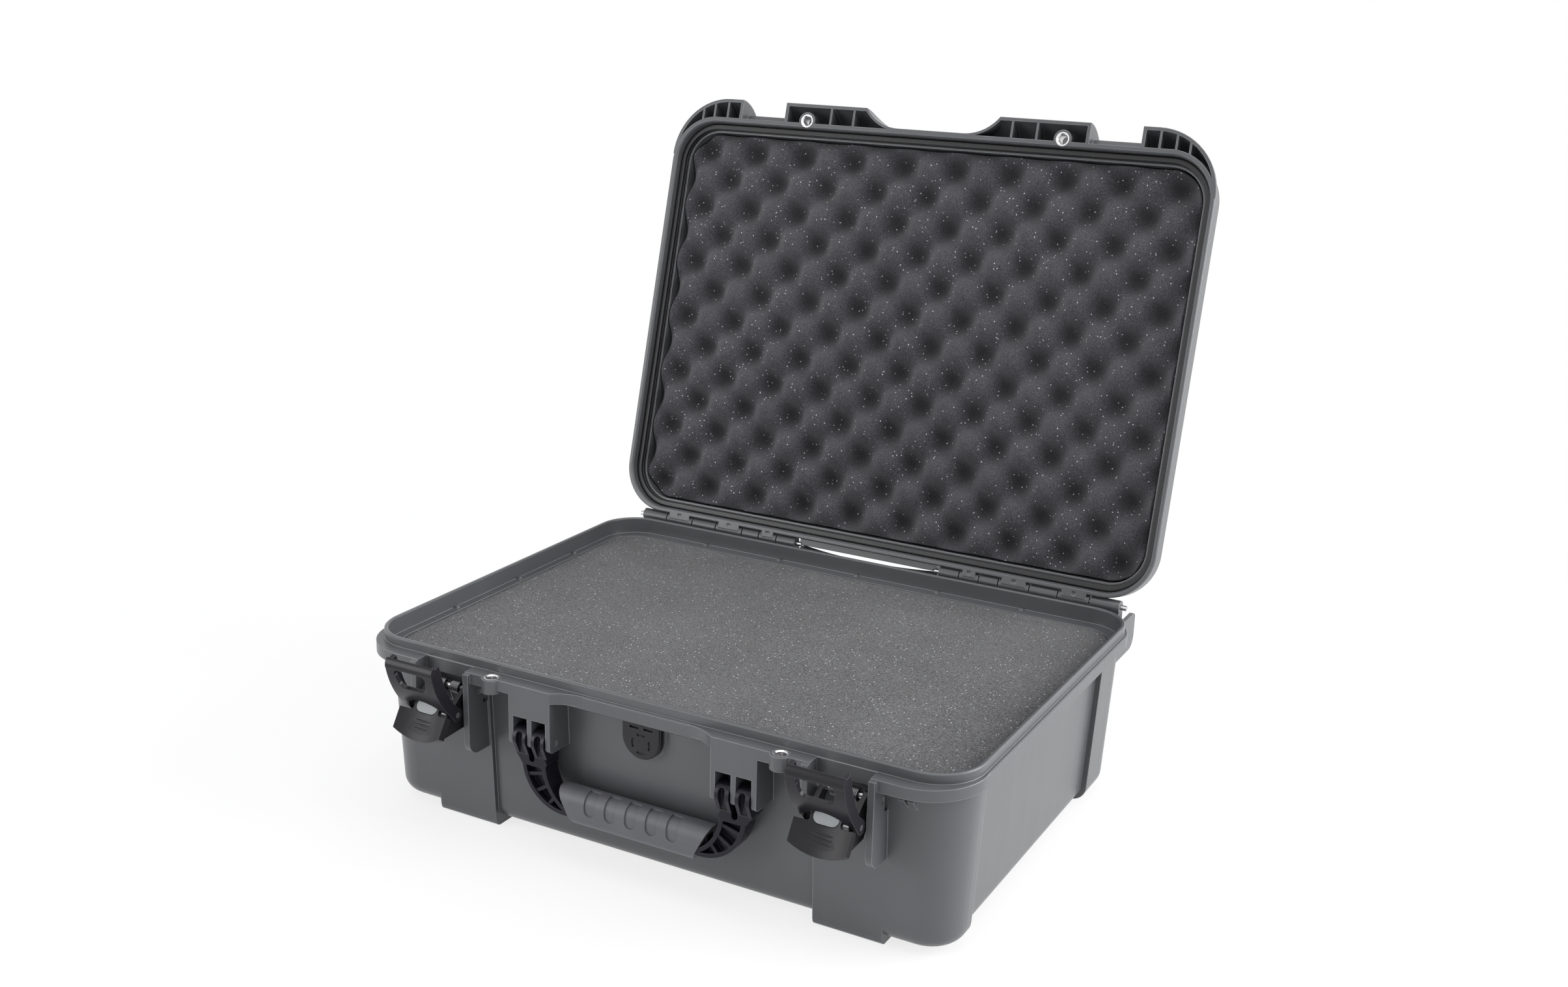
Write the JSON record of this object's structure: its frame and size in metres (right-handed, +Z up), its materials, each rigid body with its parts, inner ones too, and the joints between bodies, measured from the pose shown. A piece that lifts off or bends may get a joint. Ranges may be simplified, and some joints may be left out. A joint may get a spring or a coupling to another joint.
{
  "type": "otoscope carry case",
  "caption": "Moulded waterproof carry case with claw latches, folding handle, pressure valve, lid gasket, egg-crate lid foam and a solid foam bed.",
  "frame": {"origin": "centre of the resting plane under the skids of the base", "axes": "+X to the right along the front, +Y from the front latches to the hinges, +Z up; the lid stands open"},
  "size_m": [0.477, 0.515, 0.4873],
  "materials": {
    "shell": "fine grained moulding",
    "base_foam": "open-cell foam",
    "lid_foam": "open-cell foam, egg-crate cut",
    "bright_steel": "polished",
    "steel": "drawn bar",
    "valve": "smooth",
    "membrane": "woven sheet",
    "seal": "soft rubber",
    "frame": "semi-gloss moulding",
    "grip": "soft-touch rubber",
    "latch": "semi-gloss moulding",
    "button": "smooth"
  },
  "bodies": {
    "base": {"base_shell": "shell", "base_foam_pad": "base_foam", "base_foam_lower": "base_foam", "base_foam_upper": "base_foam", "base_padlock_bushes": "bright_steel", "valve_cover": "valve", "valve_core": "valve", "valve_membrane": "membrane", "valve_gasket": "seal", "hinge_pin_left": "steel", "hinge_pin_right": "steel", "handle_pin_left": "steel", "handle_pin_right": "steel", "latch_pivot_pin_left": "steel", "latch_pivot_pin_right": "steel"},
    "lid": {"lid_shell": "shell", "lid_gasket": "seal", "lid_foam": "lid_foam", "lid_padlock_bushes": "bright_steel"},
    "handle": {"handle_frame": "frame", "handle_grip": "grip"},
    "lever_left": {"latch_lever_left": "latch", "latch_claw_pin_left": "steel"},
    "claw_left": {"latch_claw_left": "latch"},
    "lock_left": {"lock_button_left": "button"},
    "lever_right": {"latch_lever_right": "latch", "latch_claw_pin_right": "steel"},
    "claw_right": {"latch_claw_right": "latch"},
    "lock_right": {"lock_button_right": "button"}
  },
  "joints": [
    {"name": "lid_hinge", "type": "hinge", "parent": "base", "child": "lid", "pos_m": [0, 0.177, 0.133], "axis": [1, 0, 0], "range_deg": [0, 104.85]},
    {"name": "handle_fold", "type": "hinge", "parent": "base", "child": "handle", "pos_m": [0, -0.17, 0.088], "axis": [-1, 0, 0], "range_deg": [0, 100]},
    {"name": "latch_lever_left", "type": "hinge", "parent": "base", "child": "lever_left", "pos_m": [-0.15475, -0.167, 0.109], "axis": [-1, 0, 0], "range_deg": [0, 32]},
    {"name": "latch_claw_left", "type": "hinge", "parent": "lever_left", "child": "claw_left", "pos_m": [-0.15475, -0.184, 0.097], "axis": [1, 0, 0], "range_deg": [-30, 5]},
    {"name": "lock_press_left", "type": "slide", "parent": "lever_left", "child": "lock_left", "axis": [0, 0.848, -0.5299], "range_m": [0, 0.0025], "stiffness_N_per_m": 300},
    {"name": "latch_lever_right", "type": "hinge", "parent": "base", "child": "lever_right", "pos_m": [0.15475, -0.167, 0.109], "axis": [-1, 0, 0], "range_deg": [0, 32]},
    {"name": "latch_claw_right", "type": "hinge", "parent": "lever_right", "child": "claw_right", "pos_m": [0.15475, -0.184, 0.097], "axis": [1, 0, 0], "range_deg": [-30, 5]},
    {"name": "lock_press_right", "type": "slide", "parent": "lever_right", "child": "lock_right", "axis": [0, 0.848, -0.5299], "range_m": [0, 0.0025], "stiffness_N_per_m": 300}
  ]
}
